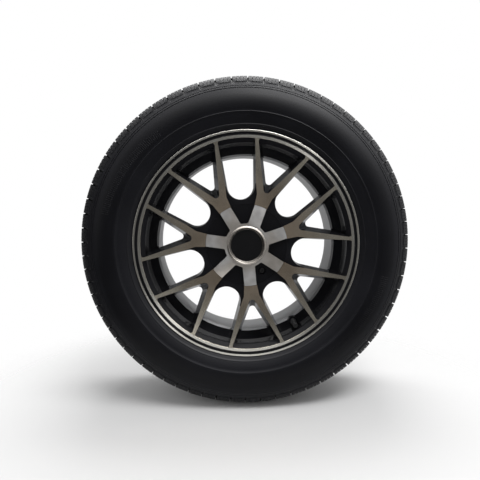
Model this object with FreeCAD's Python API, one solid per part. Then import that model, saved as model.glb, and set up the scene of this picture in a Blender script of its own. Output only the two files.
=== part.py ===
"""Passenger-car tyre mounted on a seven-spoke alloy wheel.

Every piece is drawn lying down: the wheel's axis is Z, heights grow towards the wheel's outer
face and start at the middle of the rim, and angles run anticlockwise as seen from outside.
place() then stands the wheel up, with its outer face towards -Y and its axis along Y.
Lengths are millimetres, angles are degrees.
"""
import FreeCAD
import Part
import os
from math import acos, atan2, cos, hypot, pi, radians, sin, sqrt, tan

Vec = FreeCAD.Vector

# Rim, a 16 x 7 J section
SEAT_RADIUS = 202.8          # bead seat, where it meets the flange
RIM_WIDTH = 177.8            # between the two flanges
FLANGE_HEIGHT = 17.5
FLANGE_WIDTH = 10.6          # from the flange's inner face to the lip's face
FLANGE_CURVE = 9.5           # radius that turns the flange outwards
HEEL_RADIUS = 6.5            # corner between bead seat and flange
SEAT_WIDTH = 19.9
SEAT_TAPER = 5.0
HUMP_HEIGHT = 1.4
HUMP_WIDTH = 7.0
HUMP_RADIUS = 4.0
SHELF_WIDTH = 4.0            # flat between the outer hump and the well
WELL_DEPTH = 18.0
WELL_WIDTH = 26.0
WELL_SLOPE = 18.0            # axial run of the well's outer wall
WELL_RISE = 20.0             # axial run of the well's inner wall
WELL_CORNER = 7.0
BARREL_SINK = 3.8            # inboard half of the barrel below the bead seat
RIM_WALL = 5.6
FRONT_WALL = 4.8             # wall under the outer bead seat
BACK_FLARE = 10.0            # width of the inner lip's back face
LIP_EDGE = 0.8               # rounding of the lips' edges

# Front face of the wheel
LIP_BAND = 4.0               # machined ring on the lip
GROOVE_WIDTH = 4.3           # painted groove inside that ring
GROOVE_DEPTH = 3.5
INNER_BAND = 6.5             # machined ring that the spokes run into
RING_SINK = 1.0              # inner ring and spokes below the lip
HUB_SINK = 8.0               # machined face at the cap below the lip
WEB_DROP = 7.5               # painted webs below the machined arms, at the cap

# Spokes
ARM_COUNT = 7
ARM_PHASE = 18.5             # first arm, from +X
FORK_OFFSET = 41.8           # machined edge inside a fork, from the next window's middle line
FORK_TIP = 6.7               # rounding at the bottom of a fork
FORK_DRAFT = 12.6
BAY_TIP = 29.6               # rounding at the bottom of a wide window
BAY_CENTRE = 118.0           # centre of that rounding, from the wheel's axis
BAY_FLARE = 4.2              # a wide window opens towards the rim
BAY_DRAFT = 4.0
WINDOW_CORNER = 8.0          # corner of a window at the rim
ARM_HALF_WIDTH = 12.0        # arm at the cap
ARM_SPREAD = 7.4             # its edges open by this angle up to the fork
WEB_CORNER = 14.0            # rounding where a web turns into the window's side
SPOKE_BACK = 36.0            # depth of the spokes at the rim
CORE_START = 88.0            # cored pocket in the back of an arm, from the wheel's axis
CORE_LENGTH = 22.0
CORE_HALF_WIDTH = 11.0
CORE_CORNER = 6.0
CORE_WALL = 18.0             # metal left in front of the pocket
CORE_DRAFT = 3.0

# Hub
HUB_OFFSET = 40.0            # mounting face, towards the outside from the rim's middle
HUB_THICKNESS = 18.0
HUB_RADIUS = 76.0
HUB_BEVEL = 6.0
BORE_RADIUS = 36.55
BORE_CHAMFER = 1.5
LUG_COUNT = 5
LUG_CIRCLE = 114.3
LUG_RADIUS = 7.25
LUG_SEAT_RADIUS = 12.0
LUG_SEAT_ANGLE = 60.0        # full angle of the conical seat
PAD_POCKET_DEPTH = 7.0       # cast pockets in the mounting face, between the lugs
PAD_POCKET_RADIUS = 9.0
PAD_POCKET_CIRCLE = 56.0

# Centre cap, its ring, disc and screw
CAP_RADIUS = 80.0
CAP_GAP = 0.4                # joint line round the cap
CAP_SKIRT = 8.0              # height of the cap's skirt below its webs
CAP_WALL = 3.0
CAP_LEDGE = 6.4              # width of the ledge that the skirt stands on
CAP_RISE = 4.0               # arms climb by this from the cap's edge to the ring
COLLAR_RADIUS = 43.0         # raised collar that the arms run into
COLLAR_FILLET = 4.0
BEZEL_RADIUS = 38.4
BEZEL_GAP = 0.2
BEZEL_HEIGHT = 10.5
BEZEL_CREST = 1.4            # ring's crest above the collar
BEZEL_EDGE = 1.0             # rounding of the crest and the outer edge
BEZEL_LIP = 4.0              # lip under the disc
DISC_RADIUS = 30.8
DISC_THICKNESS = 2.0
DISC_GAP = 0.2
DISC_SINK = 5.0              # disc below the ring's crest
SCREW_CIRCLE = 119.0
SCREW_BAY = 5                # which web, counted from the first arm
SCREW_RADIUS = 3.0
SCREW_HEAD_RADIUS = 5.0
SCREW_HEAD_HEIGHT = 6.0
SCREW_SOCKET = 5.0           # across the flats
SCREW_SOCKET_DEPTH = 3.0
SCREW_SINK = 2.0             # head below the web
SCREW_LENGTH = 16.0
SCREW_GAP = 0.15
SCREW_RECESS = 7.2           # recess round the head
SCREW_BOSS = 9.4
BOSS_HEIGHT = 12.0           # wheel's boss above the hub's floor

# Tyre, 215 mm wide, 60 % high
TYRE_RADIUS = 332.2
SECTION_WIDTH = 222.0
WIDEST_RADIUS = 267.0
CROWN_CURVE = 392.0          # radius of the tread across its width
TREAD_HALF = 80.0
SHOULDER_RADIUS = 304.0      # end of the tread pattern on the sidewall
SHOULDER_SINK = 11.0         # that place below the widest point
SHOULDER_BULGE = 2.9
RIM_COVER = 1.5              # rubber just outside the lip, above its radius
RIM_COVER_SINK = 2.0         # and below the lip's face
BEAD_GAP = 0.2
BEAD_WRAP = 72.0             # angle over which the bead follows the flange
BEAD_WIDTH = 13.0
CARCASS_CROWN = 15.0
CARCASS_SHOULDER = 18.0
CARCASS_SIDE = 8.5
RIB_RADIUS = 251.0           # raised ring on the sidewall
RIB_WIDTH = 2.0
RIB_HEIGHT = 0.8
GROOVE_PLACES = (17.5, 50.0) # circumferential grooves, each side of the middle
TREAD_GROOVE_WIDTH = 9.0
TREAD_GROOVE_TAPER = 8.0
TREAD_DEPTH = 7.8
PITCH_COUNT = 70             # shoulder blocks round each side
PITCH_SWING = 4.0            # blocks get longer and shorter, in two waves round the tyre
PITCH_PEAK = 120.0           # where they are longest
SLOT_WIDTH = 2.8             # lateral grooves between the blocks
SLOT_DEPTH = 5.0
SLOT_START = 60.0            # from the middle of the tread
NOTCH_WIDTH = 2.4            # cuts in the ribs between the grooves
NOTCH_DEPTH = 4.5
NOTCH_REACH = 11.0           # from the outer groove into the rib
NOTCH_SHIFT = 0.18           # share of a pitch between a slot and the next cut
WALL_LINES = (299.0, 295.0)  # sunk lines round the sidewall, below the shoulder
WALL_LINE_WIDTH = 1.6
WALL_LINE_DEPTH = 0.8

# Tyre valve
VALVE_RADIUS = 188.8         # from the wheel's axis
VALVE_HOLE = 5.75
VALVE_SEAT = 50.0            # height of the seat inside the tyre
VALVE_SEAT_WALL = 5.0
VALVE_BOSS = 11.0            # cast boss round the seat
VALVE_BOSS_SKIRT = 9.0       # boss behind the seat
VALVE_POCKET = 7.7           # pocket for the valve's base
VALVE_POCKET_DEPTH = 6.7
VALVE_SPOT_FACE = 8.0        # milled clearance in front of the seat
VALVE_GAP = 0.1
VALVE_BASE_RADIUS = 7.2
VALVE_BASE_HEIGHT = 5.7
VALVE_BULB_RADIUS = 6.9      # bulb that snaps through the hole
VALVE_BULB_HEIGHT = 7.0
VALVE_NECK_RADIUS = 5.2
VALVE_TAPER = 1.0            # rubber wider than the neck, above the bulb
VALVE_BASE_EDGE = 1.0        # rounding of the base
VALVE_EDGE = 0.6             # rounding of the bulb's and the neck's edges
VALVE_SHOULDER = 6.0         # rounding between bulb and neck
VALVE_RUBBER_HEIGHT = 20.5   # rubber above the front of the seat
TUBE_RADIUS = 3.87
TUBE_STEM_RADIUS = 2.9
TUBE_BORE = 2.65
TUBE_AIRWAY = 1.6
TUBE_THREAD = 11.0           # bare thread above the rubber
TUBE_SHANK = 9.0             # wide end inside the rubber
TUBE_EDGE = 0.5              # rounding of the tube's mouth
HOUSING_LENGTH = 15.0
HOUSING_SINK = 0.7           # housing below the tube's mouth
HOUSING_BORE = 1.8
HOUSING_GUIDE = 0.75         # hole for the pin
HOUSING_FLOOR = 2.0
PIN_RADIUS = 0.55
PIN_COLLAR = 1.5
PIN_COLLAR_HEIGHT = 0.6
PIN_COLLAR_DROP = 6.0        # collar below the housing's mouth
PIN_REACH = 0.3              # pin above the housing's mouth
PIN_TAIL = 2.4               # pin below the seal's face
SEAL_RADIUS = 1.6
SEAL_HEIGHT = 1.4
SEAL_GAP = 0.05
SPRING_WIRE = 0.4
SPRING_TURNS = 5
SPRING_STEPS = 10            # straight steps in a turn
SPRING_RADIUS = 1.2
DUST_CAP_RADIUS = 4.9
DUST_CAP_ROOF = 1.6
DUST_CAP_RIBS = 12
DUST_CAP_GROOVE = 0.5
DUST_CAP_GAP = 0.1
DUST_CAP_LIFT = 0.4          # cap's mouth above the rubber
WASHER_THICKNESS = 1.0

# Heights and radii that follow
HALF_WIDTH = RIM_WIDTH / 2
LIP_RADIUS = SEAT_RADIUS + FLANGE_HEIGHT
LIP_FACE = HALF_WIDTH + FLANGE_WIDTH
RING_FACE = LIP_FACE - RING_SINK
RING_RADIUS = LIP_RADIUS - LIP_BAND - GROOVE_WIDTH - INNER_BAND
HUB_FACE = LIP_FACE - HUB_SINK
WEB_FACE = HUB_FACE - WEB_DROP
CAP_SEAT = CAP_RADIUS + CAP_GAP
LEDGE = WEB_FACE - CAP_SKIRT
POCKET_RADIUS = CAP_SEAT - CAP_LEDGE
HUB_FLOOR = HUB_OFFSET + HUB_THICKNESS
HALF_PITCH = 180.0 / ARM_COUNT
TOE_RADIUS = SEAT_RADIUS - SEAT_WIDTH * tan(radians(SEAT_TAPER))
TOE_HEIGHT = HALF_WIDTH - SEAT_WIDTH
WELL_START = TOE_HEIGHT - HUMP_WIDTH - SHELF_WIDTH
WELL_TOP = WELL_START - WELL_SLOPE
WELL_BOTTOM = WELL_TOP - WELL_WIDTH
WELL_RADIUS = SEAT_RADIUS - WELL_DEPTH
THROAT_RADIUS = WELL_RADIUS - RIM_WALL
THROAT_HEIGHT = WELL_TOP + RIM_WALL
BARREL_RADIUS = SEAT_RADIUS - BARREL_SINK
COVE_RADIUS = TOE_RADIUS - FRONT_WALL
COVE_HEIGHT = RING_FACE - SPOKE_BACK
SCREW_ANGLE = ARM_PHASE + (2 * SCREW_BAY + 1) * HALF_PITCH
CREST = HUB_FACE + CAP_RISE + BEZEL_CREST
VALVE_FRONT = VALVE_SEAT + VALVE_SEAT_WALL
RUBBER_TOP = VALVE_FRONT + VALVE_RUBBER_HEIGHT
TUBE_TOP = RUBBER_TOP + TUBE_THREAD
TUBE_BOTTOM = VALVE_SEAT - VALVE_BASE_HEIGHT + CAP_WALL / 2
WASHER_TOP = TUBE_TOP + SEAL_GAP + WASHER_THICKNESS
HOUSING_TOP = TUBE_TOP - HOUSING_SINK
HOUSING_BOTTOM = HOUSING_TOP - HOUSING_LENGTH
COLLAR_TOP = HOUSING_TOP - PIN_COLLAR_DROP
COLLAR_BOTTOM = COLLAR_TOP - PIN_COLLAR_HEIGHT

ORIGIN = Vec(0, 0, 0)
AXIS = Vec(0, 0, 1)


def polar(radius, angle, height=0.0):
    """Point at a radius and angle about the wheel's axis."""
    return Vec(radius * cos(radians(angle)), radius * sin(radians(angle)), height)


def rounded_wire(corners):
    """Closed outline in the half plane (radius, height); a corner's third number rounds it."""
    points = [Vec(c[0], 0, c[1]) for c in corners]
    radii = [c[2] if len(c) > 2 else 0.0 for c in corners]
    ends = []
    for i, point in enumerate(points):
        back = (points[i - 1] - point).normalize()
        ahead = (points[(i + 1) % len(points)] - point).normalize()
        if radii[i] == 0:
            ends.append((point, None, point))
            continue
        half = acos(max(-1.0, min(1.0, back.dot(ahead)))) / 2
        reach = radii[i] / tan(half)
        middle = (back + ahead).normalize()
        top = point + middle * (radii[i] / sin(half) - radii[i])
        ends.append((point + back * reach, top, point + ahead * reach))
    edges = []
    for i, (start, top, stop) in enumerate(ends):
        if top is not None:
            edges.append(Part.Arc(start, top, stop).toShape())
        following = ends[(i + 1) % len(ends)][0]
        if stop.distanceToPoint(following) > 1e-6:
            edges.append(Part.LineSegment(stop, following).toShape())
    return Part.Wire(edges)


def turned(corners):
    """Solid of revolution about Z from a closed outline."""
    return Part.Face(rounded_wire(corners)).revolve(ORIGIN, AXIS, 360)


def tube(inner, outer, low, high):
    """Plain ring or, with no inner radius, a disc."""
    return turned([(inner, low), (outer, low), (outer, high), (inner, high)])


def prism(points, low, high):
    """Upright prism on a closed polygon of plan points."""
    ring = [Vec(p.x, p.y, low) for p in points]
    return Part.Face(Part.makePolygon(ring + ring[:1])).extrude(Vec(0, 0, high - low))


def around(shape, count, start=0.0):
    """Copies of a shape, evenly spaced round the wheel's axis."""
    return [shape.rotated(ORIGIN, AXIS, start + k * 360.0 / count) for k in range(count)]


def window_wire(tip_centre, tip_radius, flare, height):
    """Outline of a window about +X: round tip towards the hub, straight sides, rounded rim corners."""
    outer = RING_RADIUS + WINDOW_CORNER / 3
    slope = radians(flare)
    along = Vec(cos(slope), sin(slope), 0)
    inward = Vec(sin(slope), -cos(slope), 0)
    middle = Vec(tip_centre, 0, 0)
    foot = middle - inward * tip_radius
    lane = foot + inward * WINDOW_CORNER
    reach = outer - WINDOW_CORNER
    ahead = lane.dot(along)
    centre = lane + along * (sqrt(ahead ** 2 - lane.dot(lane) + reach ** 2) - ahead)
    side = centre - inward * WINDOW_CORNER
    rim = centre * (outer / reach)
    bend = centre + ((rim - centre) + (side - centre)).normalize() * WINDOW_CORNER
    lift = Vec(0, 0, height)

    def other(point):
        return Vec(point.x, -point.y, point.z) + lift

    return Part.Wire([
        Part.Arc(other(foot), middle - Vec(tip_radius, 0, 0) + lift, foot + lift).toShape(),
        Part.LineSegment(foot + lift, side + lift).toShape(),
        Part.Arc(side + lift, bend + lift, rim + lift).toShape(),
        Part.Arc(rim + lift, Vec(outer, 0, height), other(rim)).toShape(),
        Part.Arc(other(rim), other(bend), other(side)).toShape(),
        Part.LineSegment(other(side), other(foot)).toShape(),
    ])


def fork_wire(height):
    """Window inside a fork: its sides run parallel to the middle lines of the windows beside it."""
    spread = FORK_OFFSET + (RING_FACE - height) * tan(radians(FORK_DRAFT))
    centre = (spread + FORK_TIP) / sin(radians(HALF_PITCH))
    return window_wire(centre, FORK_TIP, HALF_PITCH, height)


def bay_wire(height):
    """Wide window between two arms."""
    tip = BAY_TIP - (RING_FACE - height) * tan(radians(BAY_DRAFT))
    return window_wire(BAY_CENTRE, tip, BAY_FLARE, height)


def web_recess():
    """Sunk web about +X, between two arms and open to the wide window."""
    turn = radians(HALF_PITCH)
    root = Vec(POCKET_RADIUS * cos(turn), POCKET_RADIUS * sin(turn), 0)
    root += Vec(sin(turn), -cos(turn), 0) * ARM_HALF_WIDTH
    run = turn - radians(ARM_SPREAD)
    side = BAY_TIP
    bend = root + Vec(cos(run), sin(run), 0) * ((side - root.y) / sin(run))
    corners = [(root.x, root.y), (bend.x, bend.y, WEB_CORNER), (BAY_CENTRE, side),
               (BAY_CENTRE, -side), (bend.x, -bend.y, WEB_CORNER), (root.x, -root.y)]
    outline = rounded_wire(corners).rotated(ORIGIN, Vec(1, 0, 0), -90)
    outline.translate(Vec(0, 0, WEB_FACE))
    return Part.Face(outline).extrude(Vec(0, 0, LIP_FACE - WEB_FACE))


def core_wire(height):
    """Outline of the cored pocket about +X, which opens towards the back."""
    opening = (HUB_FACE - CORE_WALL - height) * tan(radians(CORE_DRAFT))
    start = CORE_START - opening
    stop = CORE_START + CORE_LENGTH + opening
    side = CORE_HALF_WIDTH + opening
    corners = [(start, side, CORE_CORNER), (stop, side, CORE_CORNER),
               (stop, -side, CORE_CORNER), (start, -side, CORE_CORNER)]
    outline = rounded_wire(corners).rotated(ORIGIN, Vec(1, 0, 0), -90)
    outline.translate(Vec(0, 0, height))
    return outline


def inside_of_rim():
    """Space inside the rim's front, which a window may open up."""
    top = LIP_FACE + GROOVE_DEPTH
    low = HUB_OFFSET - HUB_BEVEL
    return turned([(BORE_RADIUS, top), (RING_RADIUS, top), (RING_RADIUS, RING_FACE),
                   (SEAT_RADIUS - FRONT_WALL, HALF_WIDTH), (COVE_RADIUS, COVE_HEIGHT),
                   (THROAT_RADIUS - RIM_WALL, low), (BORE_RADIUS, low)])


def wheel_blank():
    """Rim, disc and hub as one turned body, before the windows are opened."""
    back_lip = HALF_WIDTH + FLANGE_WIDTH
    half_hump = HUMP_WIDTH / 2
    barrel_inner = BARREL_RADIUS - RIM_WALL
    band = LIP_RADIUS - LIP_BAND
    groove = LIP_FACE - GROOVE_DEPTH
    return turned([
        (BORE_RADIUS, HUB_FLOOR),
        (POCKET_RADIUS, HUB_FLOOR, CAP_WALL), (POCKET_RADIUS, LEDGE),
        (CAP_SEAT, LEDGE), (CAP_SEAT, HUB_FACE),
        (RING_RADIUS, RING_FACE), (band - GROOVE_WIDTH, RING_FACE),
        (band - GROOVE_WIDTH, groove, LIP_EDGE), (band, groove, LIP_EDGE),
        (band, LIP_FACE), (LIP_RADIUS, LIP_FACE, LIP_EDGE),
        (LIP_RADIUS, HALF_WIDTH, FLANGE_CURVE), (SEAT_RADIUS, HALF_WIDTH, HEEL_RADIUS),
        (TOE_RADIUS, TOE_HEIGHT),
        (TOE_RADIUS + HUMP_HEIGHT, TOE_HEIGHT - half_hump, HUMP_RADIUS),
        (TOE_RADIUS, TOE_HEIGHT - HUMP_WIDTH),
        (TOE_RADIUS, WELL_START, WELL_CORNER), (WELL_RADIUS, WELL_TOP, WELL_CORNER),
        (WELL_RADIUS, WELL_BOTTOM, WELL_CORNER),
        (BARREL_RADIUS, WELL_BOTTOM - WELL_RISE, WELL_CORNER),
        (BARREL_RADIUS, HUMP_WIDTH + half_hump - TOE_HEIGHT, HUMP_RADIUS),
        (TOE_RADIUS, HUMP_WIDTH - TOE_HEIGHT),
        (TOE_RADIUS + HUMP_HEIGHT, half_hump - TOE_HEIGHT, HUMP_RADIUS),
        (TOE_RADIUS, -TOE_HEIGHT), (SEAT_RADIUS, -HALF_WIDTH, HEEL_RADIUS),
        (LIP_RADIUS, -HALF_WIDTH, FLANGE_CURVE), (LIP_RADIUS, -back_lip, LIP_EDGE),
        (LIP_RADIUS - BACK_FLARE, -back_lip, LIP_EDGE),
        (barrel_inner, -HALF_WIDTH, HEEL_RADIUS),
        (barrel_inner, WELL_BOTTOM - WELL_RISE, WELL_CORNER),
        (THROAT_RADIUS, WELL_BOTTOM, WELL_CORNER), (THROAT_RADIUS, THROAT_HEIGHT),
        (COVE_RADIUS, COVE_HEIGHT),
        (HUB_RADIUS + HUB_BEVEL, HUB_OFFSET + HUB_BEVEL), (HUB_RADIUS, HUB_OFFSET),
        (BORE_RADIUS + BORE_CHAMFER, HUB_OFFSET), (BORE_RADIUS, HUB_OFFSET + BORE_CHAMFER),
    ])


def lug_hole():
    """Through hole with a conical seat, on the lug circle at angle 0."""
    run = (LUG_SEAT_RADIUS - LUG_RADIUS) / tan(radians(LUG_SEAT_ANGLE / 2))
    hole = turned([(0, HUB_OFFSET - HUB_BEVEL), (LUG_RADIUS, HUB_OFFSET - HUB_BEVEL),
                   (LUG_RADIUS, HUB_FLOOR - run), (LUG_SEAT_RADIUS, HUB_FLOOR),
                   (LUG_SEAT_RADIUS, HUB_FLOOR + HUB_BEVEL), (0, HUB_FLOOR + HUB_BEVEL)])
    hole.translate(Vec(LUG_CIRCLE / 2, 0, 0))
    return hole


def pad_pocket():
    """Round-ended cast pocket in the mounting face, at angle 0."""
    pocket = turned([(0, HUB_OFFSET - HUB_BEVEL), (PAD_POCKET_RADIUS, HUB_OFFSET - HUB_BEVEL),
                     (PAD_POCKET_RADIUS, HUB_OFFSET + PAD_POCKET_DEPTH, CAP_WALL),
                     (0, HUB_OFFSET + PAD_POCKET_DEPTH)])
    pocket.translate(Vec(PAD_POCKET_CIRCLE, 0, 0))
    return pocket


def at_valve(shape):
    """Moves a piece drawn about Z to the valve's place, in the window that the cap's screw faces."""
    shape.translate(polar(VALVE_RADIUS, SCREW_ANGLE))
    return shape


def at_screw(shape):
    """Moves a piece drawn about Z to the cap screw's place."""
    shape.translate(polar(SCREW_CIRCLE / 2, SCREW_ANGLE))
    return shape


def alloy_wheel():
    """One casting: windows, webs, lug holes, valve seat and the boss for the cap's screw."""
    space = inside_of_rim()
    top = LIP_FACE + GROOVE_DEPTH
    low = HUB_OFFSET
    fork = Part.makeLoft([fork_wire(low), fork_wire(top)], True, True).common(space)
    bay = Part.makeLoft([bay_wire(low), bay_wire(top)], True, True).common(space)
    core = Part.makeLoft([core_wire(low), core_wire(HUB_FACE - CORE_WALL)], True, True)
    lug_phase = SCREW_ANGLE + 180.0 / LUG_COUNT
    cuts = around(fork, ARM_COUNT, ARM_PHASE)
    cuts += around(core, ARM_COUNT, ARM_PHASE)
    cuts += around(bay, ARM_COUNT, ARM_PHASE + HALF_PITCH)
    cuts += around(web_recess(), ARM_COUNT, ARM_PHASE + HALF_PITCH)
    cuts += around(lug_hole(), LUG_COUNT, lug_phase)
    cuts += around(pad_pocket(), LUG_COUNT, SCREW_ANGLE)
    wheel = wheel_blank().cut(cuts)
    seat_low = VALVE_SEAT - VALVE_BOSS_SKIRT
    valve_boss = at_valve(tube(0, VALVE_BOSS, seat_low, VALVE_FRONT))
    screw_boss = at_screw(tube(0, SCREW_BOSS - CAP_WALL, HUB_FLOOR - CAP_WALL, HUB_FLOOR + BOSS_HEIGHT))
    wheel = wheel.fuse([valve_boss, screw_boss])
    hole = at_valve(tube(0, VALVE_HOLE, VALVE_SEAT - VALVE_POCKET_DEPTH, VALVE_FRONT + VALVE_BOSS))
    pocket = at_valve(tube(0, VALVE_POCKET, VALVE_SEAT - VALVE_POCKET_DEPTH, VALVE_SEAT))
    spot_face = at_valve(tube(0, VALVE_SPOT_FACE, VALVE_FRONT, VALVE_FRONT + VALVE_BULB_HEIGHT))
    thread = at_screw(tube(0, SCREW_RADIUS + SCREW_GAP, HUB_FLOOR, HUB_FLOOR + 2 * BOSS_HEIGHT))
    return wheel.cut([hole, pocket, spot_face, thread]).removeSplitter()


def cap_dome(drop, low, outer):
    """Turned body under the arms' tops, which climb from the cap's edge to the collar."""
    return turned([(0, low), (outer, low), (outer, HUB_FACE - drop),
                   (COLLAR_RADIUS, HUB_FACE + CAP_RISE - drop), (0, HUB_FACE + CAP_RISE - drop)])


def cap_pocket():
    """Space above one web of the cap, about +X: between two arms, rounded into the collar."""
    turn = radians(HALF_PITCH)
    along = Vec(cos(turn), sin(turn), 0)
    inward = Vec(sin(turn), -cos(turn), 0)
    lane = ARM_HALF_WIDTH + COLLAR_FILLET
    reach = COLLAR_RADIUS + COLLAR_FILLET
    centre = inward * lane + along * sqrt(reach ** 2 - lane ** 2)
    side = centre - inward * COLLAR_FILLET
    root = centre * (COLLAR_RADIUS / reach)
    bend = centre - (inward + centre * (1 / reach)).normalize() * COLLAR_FILLET
    far = inward * ARM_HALF_WIDTH + along * (CAP_RADIUS + ARM_HALF_WIDTH)

    def other(point):
        return Vec(point.x, -point.y, 0)

    outline = Part.Wire([
        Part.LineSegment(far, side).toShape(),
        Part.Arc(side, bend, root).toShape(),
        Part.Arc(root, Vec(COLLAR_RADIUS, 0, 0), other(root)).toShape(),
        Part.Arc(other(root), other(bend), other(side)).toShape(),
        Part.LineSegment(other(side), other(far)).toShape(),
        Part.LineSegment(other(far), far).toShape(),
    ])
    outline.translate(Vec(0, 0, WEB_FACE))
    return Part.Face(outline).extrude(Vec(0, 0, CREST - WEB_FACE))


def arm_hollow():
    """Underside of one arm about +X, a wall thinner than the arm all round."""
    half = ARM_HALF_WIDTH - CAP_WALL
    start = COLLAR_RADIUS + CAP_WALL
    bar = Part.makeBox(CAP_RADIUS, 2 * half, CREST - LEDGE, Vec(start, -half, LEDGE))
    return cap_dome(CAP_WALL, LEDGE, CAP_RADIUS - CAP_WALL).common(bar)


def centre_cap():
    """Moulded shell: arms and collar stand on sunk webs, with a skirt on the wheel's ledge."""
    under = WEB_FACE - CAP_WALL
    boss_low = HUB_FLOOR + BOSS_HEIGHT
    head_seat = WEB_FACE - SCREW_SINK - SCREW_HEAD_HEIGHT
    cavity = tube(0, CAP_RADIUS - CAP_WALL, LEDGE - CAP_WALL, under)
    cup = tube(0, BEZEL_RADIUS + BEZEL_GAP, CREST - BEZEL_HEIGHT, CREST)
    eye = tube(0, DISC_RADIUS - BEZEL_LIP, LEDGE, CREST)
    cuts = around(cap_pocket(), ARM_COUNT, ARM_PHASE + HALF_PITCH)
    cuts += around(arm_hollow(), ARM_COUNT, ARM_PHASE)
    shell = cap_dome(0, LEDGE, CAP_RADIUS).cut(cuts + [cavity, cup, eye])
    boss = at_screw(tube(0, SCREW_BOSS, boss_low, WEB_FACE - CAP_WALL / 2))
    recess = at_screw(tube(0, SCREW_RECESS, head_seat, CREST))
    hole = at_screw(tube(0, SCREW_RADIUS + SCREW_GAP, boss_low - CAP_WALL, CREST))
    return shell.fuse(boss).cut([recess, hole]).removeSplitter()


def cap_bezel():
    """Pressed ring: bevelled towards the disc, rounded outside, with a lip under the disc."""
    low = CREST - BEZEL_HEIGHT
    disc_low = CREST - DISC_SINK - DISC_THICKNESS
    inner = DISC_RADIUS + DISC_GAP
    crest = (inner + BEZEL_RADIUS) / 2
    return turned([(inner - BEZEL_LIP, low), (BEZEL_RADIUS, low),
                   (BEZEL_RADIUS, CREST - BEZEL_CREST, BEZEL_EDGE), (crest, CREST, BEZEL_EDGE),
                   (inner, CREST - DISC_SINK), (inner, disc_low), (inner - BEZEL_LIP, disc_low)])


def cap_disc():
    """Bare round insert with a slightly rounded edge."""
    top = CREST - DISC_SINK
    return turned([(0, top - DISC_THICKNESS), (DISC_RADIUS, top - DISC_THICKNESS),
                   (DISC_RADIUS, top, DISC_THICKNESS / 4), (0, top)])


def cap_screw():
    """Socket-head screw."""
    top = WEB_FACE - SCREW_SINK
    seat = top - SCREW_HEAD_HEIGHT
    screw = turned([(0, seat - SCREW_LENGTH), (SCREW_RADIUS, seat - SCREW_LENGTH, SCREW_RADIUS / 4),
                    (SCREW_RADIUS, seat), (SCREW_HEAD_RADIUS, seat),
                    (SCREW_HEAD_RADIUS, top, SCREW_HEAD_RADIUS / 8), (0, top)])
    corner = SCREW_SOCKET / sqrt(3)
    hexagon = [polar(corner, 60 * k) for k in range(6)]
    return at_screw(screw.cut(prism(hexagon, top - SCREW_SOCKET_DEPTH, top + SCREW_SOCKET_DEPTH)))


def crown(height):
    """Radius of the tread at a height from its middle."""
    return TYRE_RADIUS - CROWN_CURVE + sqrt(CROWN_CURVE ** 2 - height ** 2)


def arc(start, middle, stop):
    """Arc through three (radius, height) points."""
    return Part.Arc(*[Vec(p[0], 0, p[1]) for p in (start, middle, stop)]).toShape()


def line(start, stop):
    """Straight edge between two (radius, height) points."""
    return Part.LineSegment(*[Vec(p[0], 0, p[1]) for p in (start, stop)]).toShape()


def wall_arc(widest, end):
    """Arc from the widest point, where it runs straight up the wall, to an end point."""
    rise = end[0] - widest[0]
    fall = widest[1] - end[1]
    radius = (rise ** 2 + fall ** 2) / (2 * fall)
    turn = atan2(abs(rise), radius - fall) / 2
    side = 1 if rise > 0 else -1
    middle = (widest[0] + side * radius * sin(turn), widest[1] - radius * (1 - cos(turn)))
    return arc(widest, middle, end)


def bulged(start, stop, bulge):
    """Arc over a chord, raised by the bulge away from the tyre's middle."""
    run = (stop[0] - start[0], stop[1] - start[1])
    length = hypot(*run)
    middle = ((start[0] + stop[0]) / 2 + bulge * run[1] / length,
              (start[1] + stop[1]) / 2 - bulge * run[0] / length)
    return arc(start, middle, stop)


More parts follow.
